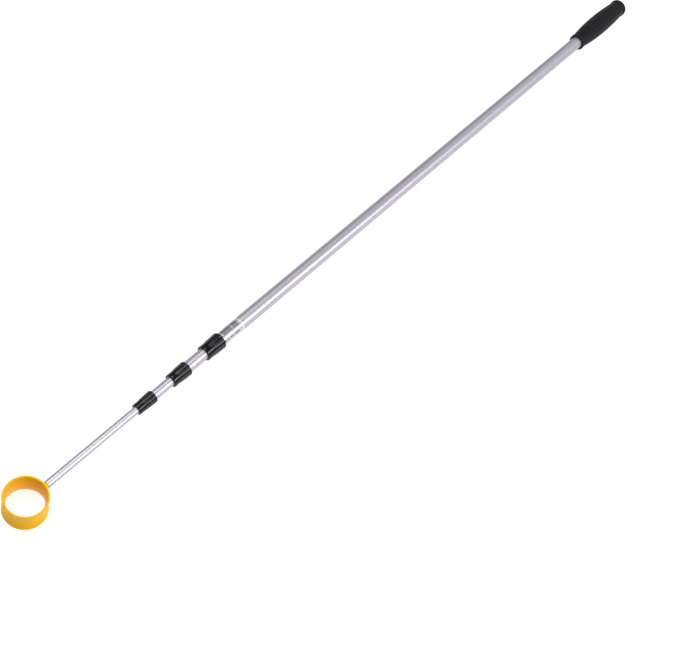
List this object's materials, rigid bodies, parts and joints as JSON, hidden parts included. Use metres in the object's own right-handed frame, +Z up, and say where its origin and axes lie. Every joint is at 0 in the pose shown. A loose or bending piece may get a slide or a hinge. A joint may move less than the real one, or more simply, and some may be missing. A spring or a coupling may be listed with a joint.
{
  "type": "golf ball retriever",
  "caption": "Telescopic golf ball retriever: open hourglass ball cup on nested aluminium tubes with ribbed twist-lock collars and a fluted rubber grip.",
  "frame": {"origin": "On the floor under the middle of the pole's length, midway across.", "axes": "+X runs along the pole from the cup to the closed end of the grip, +Y across, +Z up along the cup's axis."},
  "size_m": [1.2564, 0.0508, 0.03],
  "materials": {
    "yellow_plastic": "moulded, satin gloss",
    "anodised_aluminium": "satin anodised, drawn along the tube",
    "collar_plastic": "moulded black, glossy",
    "bush_plastic": "moulded black, matt",
    "grip_rubber": "moulded rubber, satin",
    "lock_plastic": "natural nylon",
    "sleeve_plastic": "grey acetal",
    "cone_brass": "turned",
    "steel": "plated",
    "band_film": "printed film"
  },
  "bodies": {
    "handle": {"outer_tube": "anodised_aluminium", "collar_1": "collar_plastic", "guide_bush_1": "bush_plastic", "label_band": "band_film", "grip": "grip_rubber", "end_plug": "bush_plastic"},
    "lock_1": {"expander_sleeve_1": "sleeve_plastic"},
    "cone_1": {"cone_nut_1": "cone_brass"},
    "section_2": {"section_2_tube": "anodised_aluminium", "collar_2": "collar_plastic", "guide_bush_2": "bush_plastic", "lock_spindle_1": "lock_plastic", "lock_screw_1": "steel"},
    "lock_2": {"expander_sleeve_2": "sleeve_plastic"},
    "cone_2": {"cone_nut_2": "cone_brass"},
    "section_3": {"section_3_tube": "anodised_aluminium", "collar_3": "collar_plastic", "guide_bush_3": "bush_plastic", "lock_spindle_2": "lock_plastic", "lock_screw_2": "steel"},
    "lock_3": {"expander_sleeve_3": "sleeve_plastic"},
    "cone_3": {"cone_nut_3": "cone_brass"},
    "tip": {"tip_tube": "anodised_aluminium", "cup_head": "yellow_plastic", "neck_pin": "steel", "lock_spindle_3": "lock_plastic", "lock_screw_3": "steel"}
  },
  "joints": [
    {"name": "slide_1", "type": "slide", "parent": "handle", "child": "lock_1", "axis": [-1, 0, 0], "range_m": [-0.028, 0.79]},
    {"name": "twist_1", "type": "hinge", "parent": "lock_1", "child": "section_2", "pos_m": [0, 0, 0.015], "axis": [1, 0, 0], "range_deg": [0, 180]},
    {"name": "cone_travel_1", "type": "slide", "parent": "lock_1", "child": "cone_1", "axis": [1, 0, 0], "range_m": [0, 0.002]},
    {"name": "slide_2", "type": "slide", "parent": "section_2", "child": "lock_2", "axis": [-1, 0, 0], "range_m": [-0.028, 0.77]},
    {"name": "twist_2", "type": "hinge", "parent": "lock_2", "child": "section_3", "pos_m": [0, 0, 0.015], "axis": [1, 0, 0], "range_deg": [0, 180]},
    {"name": "cone_travel_2", "type": "slide", "parent": "lock_2", "child": "cone_2", "axis": [1, 0, 0], "range_m": [0, 0.002]},
    {"name": "slide_3", "type": "slide", "parent": "section_3", "child": "lock_3", "axis": [-1, 0, 0], "range_m": [-0.117, 0.65]},
    {"name": "twist_3", "type": "hinge", "parent": "lock_3", "child": "tip", "pos_m": [0, 0, 0.015], "axis": [1, 0, 0], "range_deg": [0, 180]},
    {"name": "cone_travel_3", "type": "slide", "parent": "lock_3", "child": "cone_3", "axis": [1, 0, 0], "range_m": [0, 0.002]}
  ],
  "couplings": [
    {"joint": "cone_travel_1", "follows": "twist_1", "m_per_rad": 0.000636},
    {"joint": "cone_travel_2", "follows": "twist_2", "m_per_rad": 0.000636},
    {"joint": "cone_travel_3", "follows": "twist_3", "m_per_rad": 0.000636}
  ]
}
